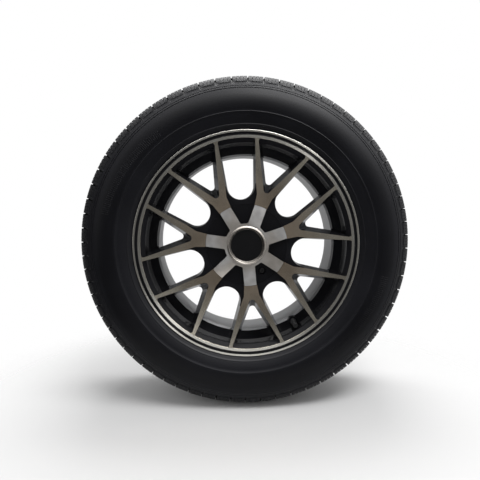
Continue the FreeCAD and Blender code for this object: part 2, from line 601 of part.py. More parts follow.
def tyre_body():
    """Tread, shoulders, sidewalls and beads, closed round an open air space."""
    half = SECTION_WIDTH / 2
    edge = (crown(TREAD_HALF), TREAD_HALF)
    shoulder = (SHOULDER_RADIUS, half - SHOULDER_SINK)
    widest = (WIDEST_RADIUS, half)
    cover = (LIP_RADIUS + RIM_COVER, LIP_FACE - RIM_COVER_SINK)
    bend = (LIP_RADIUS - FLANGE_CURVE, HALF_WIDTH + FLANGE_CURVE)
    wrap = FLANGE_CURVE + BEAD_GAP

    def on_flange(angle):
        return (bend[0] + wrap * sin(radians(angle)), bend[1] - wrap * cos(radians(angle)))

    seat = SEAT_RADIUS + BEAD_GAP
    heel = (seat + HEEL_RADIUS, HALF_WIDTH - BEAD_GAP)
    base = (seat - HEEL_RADIUS * tan(radians(SEAT_TAPER)), HALF_WIDTH - HEEL_RADIUS - BEAD_GAP)
    toe = (TOE_RADIUS + BEAD_GAP, TOE_HEIGHT)
    heel_middle = (heel[0] - HEEL_RADIUS * sin(pi / 4), base[1] + HEEL_RADIUS * sin(pi / 4))
    shin = (LIP_RADIUS, HALF_WIDTH - BEAD_WIDTH)
    inner_wide = (WIDEST_RADIUS, half - CARCASS_SIDE)
    inner_edge = (edge[0] - CARCASS_SHOULDER, TREAD_HALF - CARCASS_SIDE)
    inner_crown = TYRE_RADIUS - CARCASS_CROWN
    sag = inner_crown - (inner_crown - inner_edge[0]) / 4
    side = [
        arc((TYRE_RADIUS, 0), (crown(TREAD_HALF / 2), TREAD_HALF / 2), edge),
        bulged(edge, shoulder, -SHOULDER_BULGE),
        wall_arc(widest, shoulder),
        wall_arc(widest, cover),
        line(cover, on_flange(BEAD_WRAP)),
        arc(on_flange(BEAD_WRAP), on_flange(BEAD_WRAP / 2), on_flange(0)),
        line(on_flange(0), heel),
        arc(heel, heel_middle, base),
        line(base, toe),
        line(toe, shin),
        wall_arc(inner_wide, shin),
        wall_arc(inner_wide, inner_edge),
        arc(inner_edge, (sag, inner_edge[1] / 2), (inner_crown, 0)),
    ]
    mirror = [e.mirror(ORIGIN, AXIS) for e in side]
    outline = Part.Wire(Part.__sortEdges__(side + mirror))
    return Part.Face(outline).revolve(ORIGIN, AXIS, 360)


def sidewall_rib():
    """Low raised ring on the outer and inner sidewall."""
    half = SECTION_WIDTH / 2
    rise = WIDEST_RADIUS - LIP_RADIUS - RIM_COVER
    fall = half - LIP_FACE + RIM_COVER_SINK
    curve = (rise ** 2 + fall ** 2) / (2 * fall)
    top = half - curve + sqrt(curve ** 2 - (WIDEST_RADIUS - RIB_RADIUS) ** 2) + RIB_HEIGHT
    root = top - CARCASS_SIDE / 2
    ring = turned([(RIB_RADIUS - RIB_WIDTH, root), (RIB_RADIUS + RIB_WIDTH, root),
                   (RIB_RADIUS + RIB_WIDTH / 2, top), (RIB_RADIUS - RIB_WIDTH / 2, top)])
    return [ring, ring.mirror(ORIGIN, AXIS)]


def tread_groove(place):
    """Ring that cuts a circumferential groove with leaning walls."""
    top = TYRE_RADIUS + TREAD_DEPTH
    floor = crown(place) - TREAD_DEPTH
    half = TREAD_GROOVE_WIDTH / 2
    lean = tan(radians(TREAD_GROOVE_TAPER))
    wide = half + (top - crown(place)) * lean
    narrow = half - TREAD_DEPTH * lean
    return turned([(floor, place - narrow), (top, place - wide),
                   (top, place + wide), (floor, place + narrow)])


def wall_line(radius):
    """Ring that cuts a sunk line with leaning sides into the wall below the shoulder."""
    fall = SHOULDER_SINK
    curve = ((SHOULDER_RADIUS - WIDEST_RADIUS) ** 2 + fall ** 2) / (2 * fall)
    top = SECTION_WIDTH / 2 - curve + sqrt(curve ** 2 - (radius - WIDEST_RADIUS) ** 2)
    ring = turned([(radius, top - WALL_LINE_DEPTH), (radius + WALL_LINE_WIDTH, top + WALL_LINE_DEPTH),
                   (radius - WALL_LINE_WIDTH, top + WALL_LINE_DEPTH)])
    return [ring, ring.mirror(ORIGIN, AXIS)]


def slice_of_ring(corners, width):
    """Slice of a ring with a section, which starts at angle 0 and is as wide as a cut in the tread."""
    return Part.Face(rounded_wire(corners)).revolve(ORIGIN, AXIS, width / TYRE_RADIUS * 180.0 / pi)


def shoulder_slot():
    """Cuts one lateral groove over the shoulder."""
    half = SECTION_WIDTH / 2
    low = (crown(SLOT_START) - SLOT_DEPTH, SLOT_START)
    bend = (crown(TREAD_HALF) - SLOT_DEPTH, TREAD_HALF - SLOT_DEPTH / 2)
    high = (SHOULDER_RADIUS, half - SHOULDER_SINK)
    clear = TYRE_RADIUS + SLOT_DEPTH
    outside = [(SHOULDER_RADIUS, half), (clear, half), (clear, SLOT_START)]
    return slice_of_ring([low, bend, high] + outside, SLOT_WIDTH)


def rib_notch():
    """Cuts one short groove from the outer circumferential groove into the rib inside it."""
    outer = GROOVE_PLACES[1] - TREAD_GROOVE_WIDTH / 4
    inner = GROOVE_PLACES[1] - TREAD_GROOVE_WIDTH / 2 - NOTCH_REACH
    clear = TYRE_RADIUS + NOTCH_DEPTH
    return slice_of_ring([(crown(outer) - NOTCH_DEPTH, outer), (clear, outer), (clear, inner),
                          (crown(inner) - NOTCH_DEPTH, inner)], NOTCH_WIDTH)


def pitch_angle(step):
    """Angle of a block's slot: even steps, stretched and squeezed in two waves round the tyre."""
    even = 360.0 * step / PITCH_COUNT
    return even + PITCH_SWING * sin(radians(2 * (even - PITCH_PEAK)))


def tyre():
    """Moulded tyre with its tread cut in: the inner half's pattern runs half a pitch behind."""
    body = tyre_body().fuse(sidewall_rib()).removeSplitter()
    cuts = [tread_groove(side * place) for place in GROOVE_PLACES for side in (1, -1)]
    for radius in WALL_LINES:
        cuts += wall_line(radius)
    for cut, shift in ((shoulder_slot(), 0.0), (rib_notch(), NOTCH_SHIFT)):
        mirrored = cut.mirror(ORIGIN, AXIS)
        for step in range(PITCH_COUNT):
            cuts.append(cut.rotated(ORIGIN, AXIS, pitch_angle(step + shift)))
            cuts.append(mirrored.rotated(ORIGIN, AXIS, pitch_angle(step + 0.5 - shift)))
    return body.cut(cuts)


def valve_body():
    """Snap-in rubber body: base inside the tyre, neck in the hole, bulb and taper outside."""
    low = VALVE_SEAT - VALVE_GAP - VALVE_BASE_HEIGHT
    stem = TUBE_STEM_RADIUS + VALVE_GAP / 2
    wide = TUBE_RADIUS + VALVE_GAP / 2
    step = RUBBER_TOP - TUBE_SHANK - VALVE_GAP / 2
    bulb = VALVE_FRONT + VALVE_GAP
    base = VALVE_SEAT - VALVE_GAP
    neck = VALVE_HOLE - VALVE_GAP
    return at_valve(turned([
        (stem, low), (VALVE_BASE_RADIUS, low, VALVE_BASE_EDGE), (VALVE_BASE_RADIUS, base),
        (neck, base), (neck, bulb), (VALVE_BULB_RADIUS, bulb, VALVE_EDGE),
        (VALVE_NECK_RADIUS + VALVE_TAPER, bulb + VALVE_BULB_HEIGHT, VALVE_SHOULDER),
        (VALVE_NECK_RADIUS, RUBBER_TOP, VALVE_EDGE), (wide, RUBBER_TOP), (wide, step), (stem, step)]))


def valve_tube():
    """Brass tube moulded into the rubber, with an airway below and the core's bore above."""
    step = RUBBER_TOP - TUBE_SHANK
    core_seat = HOUSING_BOTTOM - SEAL_HEIGHT - PIN_TAIL
    return at_valve(turned([
        (TUBE_AIRWAY, TUBE_BOTTOM), (TUBE_STEM_RADIUS, TUBE_BOTTOM), (TUBE_STEM_RADIUS, step),
        (TUBE_RADIUS, step), (TUBE_RADIUS, TUBE_TOP, TUBE_EDGE), (TUBE_BORE, TUBE_TOP),
        (TUBE_BORE, core_seat), (TUBE_AIRWAY, core_seat - TUBE_BORE + TUBE_AIRWAY)]))


def core_housing():
    """Core's housing: a floor and a bridge guide the pin, slots in the bridge let air past."""
    outer = TUBE_BORE - VALVE_GAP
    bridge = HOUSING_TOP - HOUSING_FLOOR
    body = turned([(HOUSING_GUIDE, HOUSING_BOTTOM), (outer, HOUSING_BOTTOM), (outer, HOUSING_TOP),
                   (HOUSING_GUIDE, HOUSING_TOP), (HOUSING_GUIDE, bridge), (HOUSING_BORE, bridge),
                   (HOUSING_BORE, HOUSING_BOTTOM + HOUSING_FLOOR),
                   (HOUSING_GUIDE, HOUSING_BOTTOM + HOUSING_FLOOR)])
    flat = Part.makeBox(2 * outer, outer, 2 * HOUSING_FLOOR,
                        Vec(-outer, HOUSING_GUIDE + PIN_RADIUS, bridge))
    return at_valve(body.cut([flat, flat.rotated(ORIGIN, AXIS, 180)]))


def core_pin():
    """Pin with the collar that the spring lifts."""
    low = HOUSING_BOTTOM - SEAL_HEIGHT - PIN_TAIL / 2
    high = HOUSING_TOP + PIN_REACH
    return at_valve(turned([(0, low), (PIN_RADIUS, low), (PIN_RADIUS, COLLAR_BOTTOM),
                            (PIN_COLLAR, COLLAR_BOTTOM), (PIN_COLLAR, COLLAR_TOP),
                            (PIN_RADIUS, COLLAR_TOP), (PIN_RADIUS, high, PIN_RADIUS / 2), (0, high)]))


def core_seal():
    """Rubber cup on the pin, against the housing's floor."""
    top = HOUSING_BOTTOM - SEAL_GAP
    return at_valve(tube(PIN_RADIUS + SEAL_GAP, SEAL_RADIUS, top - SEAL_HEIGHT, top))


def core_spring():
    """Coil spring from the housing's floor to the pin's collar: a six-sided wire in short steps."""
    wire = SPRING_WIRE / 2
    low = HOUSING_BOTTOM + HOUSING_FLOOR + wire
    high = COLLAR_BOTTOM - wire
    steps = SPRING_TURNS * SPRING_STEPS
    spots = [polar(wire, 60 * k) for k in range(6)]
    sections = []
    for step in range(steps + 1):
        middle = low + (high - low) * step / steps
        turn = 360.0 * step / SPRING_STEPS
        ring = [polar(SPRING_RADIUS + spot.x, turn, middle + spot.y) for spot in spots]
        sections.append(Part.makePolygon(ring + ring[:1]))
    return at_valve(Part.makeLoft(sections, True, True))


def valve_cap():
    """Dust cap: ribbed outside, closed end, bore over the tube's thread."""
    low = RUBBER_TOP + DUST_CAP_LIFT
    high = WASHER_TOP + DUST_CAP_ROOF
    bore = TUBE_RADIUS + DUST_CAP_GAP
    cap = turned([(bore, low), (DUST_CAP_RADIUS, low), (DUST_CAP_RADIUS, high, DUST_CAP_ROOF / 2),
                  (0, high), (0, WASHER_TOP), (bore, WASHER_TOP)])
    groove = tube(0, DUST_CAP_GROOVE, low - DUST_CAP_ROOF, WASHER_TOP)
    groove.translate(Vec(DUST_CAP_RADIUS + DUST_CAP_GROOVE / 4, 0, 0))
    return at_valve(cap.cut(around(groove, DUST_CAP_RIBS)))


def cap_seal():
    """Rubber washer under the dust cap's roof."""
    return at_valve(tube(TUBE_BORE, TUBE_RADIUS, WASHER_TOP - WASHER_THICKNESS, WASHER_TOP))


def place(shape):
    """Stands the wheel up: outer face towards -Y, the drawing's +Y becomes +Z."""
    return shape.rotated(ORIGIN, Vec(1, 0, 0), 90)


PIECES = [tyre, alloy_wheel, centre_cap, cap_bezel, cap_disc, cap_screw, valve_body, valve_tube,
          core_housing, core_pin, core_seal, core_spring, valve_cap, cap_seal]

os.makedirs("parts", exist_ok=True)
for piece in PIECES:
    place(piece()).exportStep("parts/" + piece.__name__ + ".step")
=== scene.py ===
"""Looks of a passenger-car tyre on its alloy wheel.

The wheel's axis is Y and its outer face looks towards -Y. A height is counted along the axis
from the wheel's middle towards its outer face, so a point at height h lies at y = -h. Angles run
anticlockwise as seen from outside, from +X. Lengths are metres.
"""
import math

import bpy
import numpy as np
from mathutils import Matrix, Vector


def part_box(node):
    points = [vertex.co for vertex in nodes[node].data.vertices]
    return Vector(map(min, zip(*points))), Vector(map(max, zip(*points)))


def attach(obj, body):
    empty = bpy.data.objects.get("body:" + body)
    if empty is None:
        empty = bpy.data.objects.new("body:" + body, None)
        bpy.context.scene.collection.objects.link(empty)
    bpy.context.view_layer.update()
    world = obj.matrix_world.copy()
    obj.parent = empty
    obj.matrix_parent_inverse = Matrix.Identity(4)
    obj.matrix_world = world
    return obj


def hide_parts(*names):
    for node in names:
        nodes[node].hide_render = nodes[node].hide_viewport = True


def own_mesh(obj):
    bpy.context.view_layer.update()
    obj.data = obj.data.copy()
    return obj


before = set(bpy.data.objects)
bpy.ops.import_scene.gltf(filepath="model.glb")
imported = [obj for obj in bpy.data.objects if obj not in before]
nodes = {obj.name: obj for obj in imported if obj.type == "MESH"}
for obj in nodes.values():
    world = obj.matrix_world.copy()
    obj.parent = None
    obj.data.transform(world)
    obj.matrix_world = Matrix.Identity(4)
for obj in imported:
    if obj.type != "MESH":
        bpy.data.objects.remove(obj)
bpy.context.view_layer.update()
scene = bpy.context.scene
MM = 0.001


def half_span(node, axis):
    """Half of a node's extent along one axis of the frame."""
    low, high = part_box(node)
    return (high[axis] - low[axis]) / 2


def middle(node):
    """Centre of a node's box."""
    low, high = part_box(node)
    return (low + high) / 2


# Sizes read from the frame
TYRE_RADIUS = half_span("tyre", 2)
HALF_SECTION = half_span("tyre", 1)
LIP_RADIUS = half_span("alloy_wheel", 2)
LIP_FACE = half_span("alloy_wheel", 1)
CAP_RADIUS = half_span("centre_cap", 2)
VALVE = middle("valve_tube")
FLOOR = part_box("tyre")[0].z

# Tyre section
CROWN_CURVE = 392 * MM
TREAD_HALF = 80 * MM
WIDEST_RADIUS = 267 * MM
SHOULDER = (304 * MM, HALF_SECTION - 11 * MM)
SHOULDER_BULGE = 2.9 * MM
RIM_COVER = (LIP_RADIUS + 1.5 * MM, LIP_FACE - 2 * MM)
FLANGE_CURVE = 9.7 * MM
FLANGE_BEND = (LIP_RADIUS - 9.5 * MM, LIP_FACE - 1.1 * MM)
FLANGE_TURNS = (72, 48, 24, 0)   # degrees round the flange's bend

# Radii and heights inside the rim's flange and up the liner, in millimetres
BEAD = [(209.5, 88.7), (204.9, 86.8), (202.5, 82.2), (201.3, 69.0), (220.3, 75.9)]
LINER = [(244.0, 96.0), (267.0, 102.5), (290.0, 95.0), (305.9, 71.5), (314.5, 36.0)]
LINER_CROWN = 317.2 * MM

# Tread pattern
PITCHES = 70
PITCH_SWING = math.radians(4)    # blocks get longer and shorter, in two waves round the tyre
PITCH_PEAK = math.radians(120)
PATTERN_SHIFT = 0.5              # turn from one shoulder to the other, in pitches
PATTERN_WAVE = 0.22              # slant of the cuts in the middle ribs, in pitches
GROOVES = (17.5 * MM, 50 * MM)
GROOVE_TOP = 4.5 * MM
GROOVE_FLOOR = 3.4 * MM
GROOVE_DEPTH = 7.8 * MM
SLOT_SHARE = 0.094               # width of a lateral slot, as a share of the pitch
SLOT_WALL = 0.012
SLOT_START = 60 * MM
SLOT_DEPTH = 5 * MM
SLOT_FLOOR_BEND = 77.5 * MM
SLOT_END_WALL = 0.2 * MM         # half of the run of a slot's end wall
SHOULDER_RIB = (76.5 * MM, 68 * MM)
NOTCH_DEPTH = 4.5 * MM
SIDE_NOTCH_END = 34 * MM
SIDE_NOTCH_WALL = 0.4 * MM
SIDE_RIB_MIDDLE = 25 * MM
MIDDLE_NOTCH_END = 7.3 * MM
MIDDLE_NOTCH_WALL = 0.3 * MM
SIPES = 3                        # fine cuts between two slots
SIPE_SHARE = 0.028
SIPE_DEPTH = 0.5                 # as a share of the slot's depth
SIPE_PROFILE = ((-0.5, 0.0), (-0.2, 1.0), (0.2, 1.0), (0.5, 0.0))
DASH_DEPTH = 0.9 * MM            # sunk dash at the foot of a shoulder block
FINE = 20                        # columns of the tread in a pitch
COARSE = 2                       # columns of the sidewalls in a pitch
WEAR_BARS = 6
WEAR_BAR_HEIGHT = 1.6 * MM

# Rows of the shoulder, as shares of the way from the tread's edge to the sidewall
SHOULDER_ROWS = (1.0, 0.97, 0.94, 0.86, 0.83, 0.62, 0.42, 0.22, 0.08)
SHOULDER_DASH = (0, 0, 1, 1, 0, 0, 0, 0, 0)
SHOULDER_SIPES = 0.8

# Sidewall relief: radii of the plain rows in millimetres; a raised ring has its radius, half the
# width of its foot and of its top, and its rise
WALL_PLAIN = (302, 297, 291.5, 286, 280, 273, 267, 261, 256.5, 245, 239, 232, 226.5, 222.6)
RING_RIBS = ((251 * MM, 1.3 * MM, 0.5 * MM, 0.55 * MM), (229 * MM, 1.7 * MM, 0.8 * MM, 0.7 * MM))
RING_LINES = (299 * MM, 295 * MM)
RING_LINE_HALF = 0.8 * MM
RING_LINE_DEPTH = 0.8 * MM
SERRATED_FIELDS = ((128, 168), (-52, -12))       # degrees, as is the next
SERRATION_STEP = 0.8
SERRATION_RADII = (259 * MM, 283 * MM)
SERRATION_SLANT = (8 * MM, 10 * MM)      # how far the two ends wander over a field
SERRATION_HALF = 0.75 * MM
SERRATION_HEIGHT = 0.45 * MM
SERRATION_POINTS = 5
SERRATION_FADE = 5
HAIRS = 60
HAIR_SEED = 7
HAIR_RINGS = (238, 247, 277, 288)        # millimetres, as is the next
HAIR_SPREAD = 4
HAIR_LENGTH = 3.2 * MM
HAIR_SHORTEST = 0.4
HAIR_LIFT = 1.4 * MM
HAIR_RADIUS = 0.45 * MM
HAIR_SIDES = 5

CREASE = 32                      # degrees from which an edge is shaded sharp


def mesh_object(name, points, quads, triangles=None):
    """Mesh from arrays of points, quads and triangles, shaded smooth with sharp creases kept sharp."""
    triangles = np.zeros((0, 3), int) if triangles is None else triangles
    loops = np.concatenate([quads.ravel(), triangles.ravel()])
    sizes = np.concatenate([np.full(len(quads), 4), np.full(len(triangles), 3)])
    starts = np.concatenate([[0], np.cumsum(sizes)[:-1]])
    mesh = bpy.data.meshes.new(name)
    mesh.vertices.add(len(points))
    mesh.vertices.foreach_set("co", np.asarray(points, np.float32).ravel())
    mesh.loops.add(len(loops))
    mesh.loops.foreach_set("vertex_index", loops.astype(np.int32))
    mesh.polygons.add(len(sizes))
    mesh.polygons.foreach_set("loop_start", starts.astype(np.int32))
    mesh.update(calc_edges=True)
    mesh.validate()
    mesh.polygons.foreach_set("use_smooth", np.ones(len(sizes), bool))
    mesh.set_sharp_from_angle(angle=math.radians(CREASE))
    obj = bpy.data.objects.new(name, mesh)
    scene.collection.objects.link(obj)
    return obj


def grid_quads(rows, columns, first=0, close_rows=False):
    """Quads between neighbouring rows of a grid whose columns close on themselves."""
    row = np.arange(rows if close_rows else rows - 1)[:, None]
    column = np.arange(columns)[None, :]
    above = (row + 1) % rows
    beside = (column + 1) % columns
    here, there = row * columns, above * columns
    corners = np.broadcast_arrays(here + column, here + beside, there + beside, there + column)
    return first + np.stack(corners, -1).reshape(-1, 4)


def spun(radius, height, angle):
    """Points at a radius, a height along the wheel's axis and an angle about it."""
    radius, height, angle = np.broadcast_arrays(radius, height, angle)
    return np.stack([radius * np.cos(angle), -height, radius * np.sin(angle)], -1)


def crown(height):
    """Radius of the tread: a circle of the crown's curve across the tread's width."""
    return TYRE_RADIUS - CROWN_CURVE + np.sqrt(CROWN_CURVE ** 2 - np.asarray(height) ** 2)


def wall_height(radius):
    """Height of the sidewall: two circles that meet at the widest radius, each through its own end."""
    radius = np.asarray(radius, float)
    end_radius = np.where(radius > WIDEST_RADIUS, SHOULDER[0], RIM_COVER[0])
    end_height = np.where(radius > WIDEST_RADIUS, SHOULDER[1], RIM_COVER[1])
    fall = HALF_SECTION - end_height
    curve = ((end_radius - WIDEST_RADIUS) ** 2 + fall ** 2) / (2 * fall)
    return HALF_SECTION - curve + np.sqrt(curve ** 2 - (radius - WIDEST_RADIUS) ** 2)


def wall_rows():
    """Radii and heights down one sidewall, from the shoulder to the rim: plain stretches between
    the sunk lines near the shoulder and the raised rings, whose breaks are rows of their own."""
    rows = [(radius * MM, 0.0) for radius in WALL_PLAIN]
    for line in RING_LINES:
        rows += [(line + RING_LINE_HALF, 0.0), (line, -RING_LINE_DEPTH), (line - RING_LINE_HALF, 0.0)]
    for ring, foot, top, rise in RING_RIBS:
        rows += [(ring + foot, 0.0), (ring + top, rise), (ring - top, rise), (ring - foot, 0.0)]
    radius, relief = np.array(sorted(rows, reverse=True)).T
    return radius, wall_height(radius) + relief


def bead_rows():
    """Radii and heights from the rim's lip round the flange, the heel and the toe, then up the liner."""
    turn = np.radians(FLANGE_TURNS)
    flange_radius = FLANGE_BEND[0] + FLANGE_CURVE * np.sin(turn)
    flange_height = FLANGE_BEND[1] - FLANGE_CURVE * np.cos(turn)
    inside = np.array(BEAD + LINER) * MM
    radius = np.concatenate([[RIM_COVER[0]], flange_radius, inside[:, 0]])
    return radius, np.concatenate([[RIM_COVER[1]], flange_height, inside[:, 1]])


def tread_rows():
    """Half of the tread, from the shoulder's end to the crown's middle, one row for each break.

    A row has its radius and height, those of the slot's floor below it, three shares that say how
    much of a slot, a sipe and a wear bar it has, and the step that sinks the dash in a block's foot."""
    floor_end = np.array([crown(TREAD_HALF) - SLOT_DEPTH, SLOT_FLOOR_BEND])
    edge = np.array([crown(TREAD_HALF), TREAD_HALF])
    end = np.array(SHOULDER)
    run = end - edge
    inward = np.array([-run[1], run[0]]) / np.hypot(*run)
    rows = []
    for share, dash in zip(SHOULDER_ROWS, SHOULDER_DASH):
        top = edge + share * run - 4 * SHOULDER_BULGE * share * (1 - share) * inward
        floor = floor_end + share * (end - floor_end)
        sipe = 1.0 if share < SHOULDER_SIPES else 0.0
        rows.append((*top, *floor, 1.0, sipe, 0.0, *(dash * DASH_DEPTH * inward)))

    def rib(height, slot=0.0, sipe=1.0, depth=SLOT_DEPTH):
        radius = float(crown(height))
        rows.append((radius, height, radius - depth, height, slot, sipe, 0.0, 0.0, 0.0))

    def groove(place):
        for side in (1, -1):
            height = place + side * GROOVE_FLOOR
            floor = float(crown(place)) - GROOVE_DEPTH
            rows.append((floor, height, floor + WEAR_BAR_HEIGHT, height, 0.0, 0.0, 1.0, 0.0, 0.0))

    rib(TREAD_HALF, 1.0)
    for height in SHOULDER_RIB:
        rib(height, 1.0)
    rib(SLOT_START + SLOT_END_WALL, 1.0)
    rib(SLOT_START - SLOT_END_WALL)
    rib(GROOVES[1] + GROOVE_TOP, 0.0, 0.0)
    groove(GROOVES[1])
    rib(GROOVES[1] - GROOVE_TOP, 1.0, 1.0, NOTCH_DEPTH)
    rib(SIDE_NOTCH_END + SIDE_NOTCH_WALL, 1.0, 1.0, NOTCH_DEPTH)
    rib(SIDE_NOTCH_END - SIDE_NOTCH_WALL)
    rib(SIDE_RIB_MIDDLE)
    rib(GROOVES[0] + GROOVE_TOP, 0.0, 0.0)
    groove(GROOVES[0])
    rib(GROOVES[0] - GROOVE_TOP, 1.0, 0.0, NOTCH_DEPTH)
    rib(MIDDLE_NOTCH_END + MIDDLE_NOTCH_WALL, 1.0, 0.0, NOTCH_DEPTH)
    rib(MIDDLE_NOTCH_END - MIDDLE_NOTCH_WALL, 0.0, 1.0)
    rib(0.0)
    return np.array(rows)


def pitch_columns():
    """Places of a pitch's columns, from 0 to 1, with the slot's, sipes' and dash's share at each."""
    slot = [(0.0, 0.0), (SLOT_WALL, 1.0), (SLOT_SHARE - SLOT_WALL, 1.0), (SLOT_SHARE, 0.0)]
    places = [(p, s, 0.0, 0.0) for p, s in slot]
    block = (1 - SLOT_SHARE) / (SIPES + 1)
    for k in range(SIPES):
        centre = SLOT_SHARE + block * (k + 1)
        for step, depth in SIPE_PROFILE:
            places.append((centre + step * SIPE_SHARE, 0.0, depth, 1.0))
    for k in range(SIPES + 1):
        places.append((SLOT_SHARE + block * (k + 0.5), 0.0, 0.0, 1.0))
    return np.array(sorted(places)).T


def pattern_shift(height):
    """How far the pattern is turned at a height, in pitches: half a pitch from one shoulder to the
    other along a sine, and a second sine that slants the cuts in the middle ribs."""
    across = np.clip(np.asarray(height) / (GROOVES[1] + GROOVE_TOP), -1, 1)
    lead = PATTERN_SHIFT / 2 * (1 - np.sin(np.pi / 2 * across))
    return lead + PATTERN_WAVE * np.sin(np.pi * across)


def pitch_angle(column):
    """Angle of a column counted in pitches: even steps, stretched and squeezed in two waves."""
    even = 2 * np.pi / PITCHES * column
    return even + PITCH_SWING * np.sin(2 * (even - PITCH_PEAK))


def tread_grid():
    """Points of the tread, row by row from the outer shoulder to the inner one: the tread's surface,
    lowered to the slot's floor by the share of the row times the share of the column."""
    outer = tread_rows()
    inner = outer[-2::-1].copy()
    inner[:, [1, 3, 8]] *= -1        # heights of the row, of its floor and of its dash
    rows = np.concatenate([outer, inner])
    place, slot, sipe, dash = pitch_columns()
    pitch = np.arange(PITCHES)[:, None]
    column = (pitch + place[None, :]).ravel()
    bars = np.repeat(np.arange(PITCHES) % (PITCHES // WEAR_BARS) == 0, len(place)).astype(float)
    top_radius, top_height, floor_radius, floor_height, *shares = rows.T[:, :, None]
    slotted, siped, barred, dash_radius, dash_height = shares
    share = slotted * np.tile(slot, PITCHES) + siped * SIPE_DEPTH * np.tile(sipe, PITCHES)
    share = share + barred * bars
    sunk = np.tile(dash, PITCHES)
    radius = top_radius + share * (floor_radius - top_radius) + sunk * dash_radius
    height = top_height + share * (floor_height - top_height) + sunk * dash_height
    return spun(radius, height, pitch_angle(column[None, :] + pattern_shift(top_height)))


def wall_grid():
    """Points of the inner wall, its bead, the liner, the outer bead and the outer wall, row by row,
    so that the rows lead from the tread's last row round the section to its first."""
    wall = np.stack(wall_rows(), -1)
    bead = np.stack(bead_rows(), -1)
    half = np.concatenate([wall, bead])
    crown_row = np.array([[LINER_CROWN, 0.0]])
    rows = np.concatenate([half * [1, -1], crown_row, half[::-1]])
    inner = np.full(len(half), PATTERN_SHIFT)
    shift = np.concatenate([inner, [PATTERN_SHIFT / 2], np.zeros(len(half))])
    place = pitch_columns()[0][::FINE // COARSE]
    column = (np.arange(PITCHES)[:, None] + place[None, :]).ravel()
    return spun(rows[:, 0:1], rows[:, 1:2], pitch_angle(column[None, :] + shift[:, None]))


def stitch(coarse, fine):
    """Triangles between a row of the walls and one of the tread: each wide step meets several fine ones."""
    ratio = len(fine) // len(coarse)
    wide = np.arange(len(coarse))
    step = np.arange(ratio)
    here = np.broadcast_to(coarse[wide][:, None], (len(coarse), ratio))
    first = fine[(wide[:, None] * ratio + step) % len(fine)]
    second = fine[(wide[:, None] * ratio + step + 1) % len(fine)]
    fans = np.stack([here, first, second], -1).reshape(-1, 3)
    following = (wide + 1) % len(coarse)
    ends = np.stack([coarse, fine[(wide + 1) * ratio % len(fine)], coarse[following]], -1)
    return np.concatenate([fans, ends])


def serrations():
    """Low radial ribs in fields on the outer sidewall: a wedge on each rib's centre line, whose
    height fades at both ends and whose foot is sunk in the rubber."""
    fields = [np.arange(low, high, SERRATION_STEP) for low, high in SERRATED_FIELDS]
    angles = np.concatenate(fields)
    share = np.concatenate([np.linspace(0, 1, len(field)) for field in fields])
    along = np.linspace(0, 1, SERRATION_POINTS)
    inner = SERRATION_RADII[0] + SERRATION_SLANT[0] * share
    outer = SERRATION_RADII[1] - SERRATION_SLANT[1] * (1 - share)
    radius = inner[:, None] + (outer - inner)[:, None] * along
    fade = np.minimum(1, SERRATION_FADE * np.minimum(along, 1 - along))
    crest = wall_height(radius) + SERRATION_HEIGHT * fade
    foot = wall_height(radius) - SERRATION_HEIGHT
    turn = np.radians(angles)[:, None]
    lean = SERRATION_HALF / radius
    lines = [spun(radius, foot, turn - lean), spun(radius, crest, turn), spun(radius, foot, turn + lean)]
    points = np.stack(lines, 2).reshape(-1, 3)
    ribs, count = len(angles), len(along)
    base = (np.arange(ribs)[:, None, None] * count + np.arange(count - 1)[None, :, None]) * 3
    side = np.arange(3)[None, None, :]
    over = (side + 1) % 3
    quads = np.stack(np.broadcast_arrays(base + side, base + 3 + side, base + 3 + over, base + over), -1)
    first = np.arange(ribs)[:, None] * count * 3
    caps = np.concatenate([first + [0, 1, 2], first + (count - 1) * 3 + [2, 1, 0]])
    return points, quads.reshape(-1, 4), caps


def vent_hairs():
    """Moulding hairs on the outer side: thin leaning cones at seeded places, foot sunk in the rubber."""
    draw = np.random.default_rng(HAIR_SEED)
    radius = draw.choice(HAIR_RINGS, HAIRS) * MM + draw.uniform(-HAIR_SPREAD, HAIR_SPREAD, HAIRS) * MM
    angle = draw.uniform(0, 2 * np.pi, HAIRS)
    length = HAIR_LENGTH * draw.uniform(HAIR_SHORTEST, 1.0, HAIRS)
    lean = draw.uniform(-1, 1, (HAIRS, 2)) * length[:, None]
    foot = spun(radius, wall_height(radius) - HAIR_RADIUS, angle)
    tip = foot + np.stack([lean[:, 0], -np.minimum(length, HAIR_LIFT), lean[:, 1]], -1)
    side = 2 * np.pi / HAIR_SIDES * np.arange(HAIR_SIDES)
    ring = HAIR_RADIUS * np.stack([np.cos(side), np.zeros(HAIR_SIDES), np.sin(side)], -1)
    points = np.concatenate([(foot[:, None] + ring).reshape(-1, 3), tip])
    first = np.arange(HAIRS)[:, None] * HAIR_SIDES
    here = first + np.arange(HAIR_SIDES)
    beside = first + (np.arange(HAIR_SIDES) + 1) % HAIR_SIDES
    top = np.broadcast_to(HAIRS * HAIR_SIDES + np.arange(HAIRS)[:, None], here.shape)
    cones = np.stack([here, beside, top], -1).reshape(-1, 3)
    fan = np.arange(1, HAIR_SIDES - 1)
    feet = np.stack([np.broadcast_to(first, (HAIRS, len(fan))), first + fan + 1, first + fan], -1)
    return points, np.concatenate([cones, feet.reshape(-1, 3)])


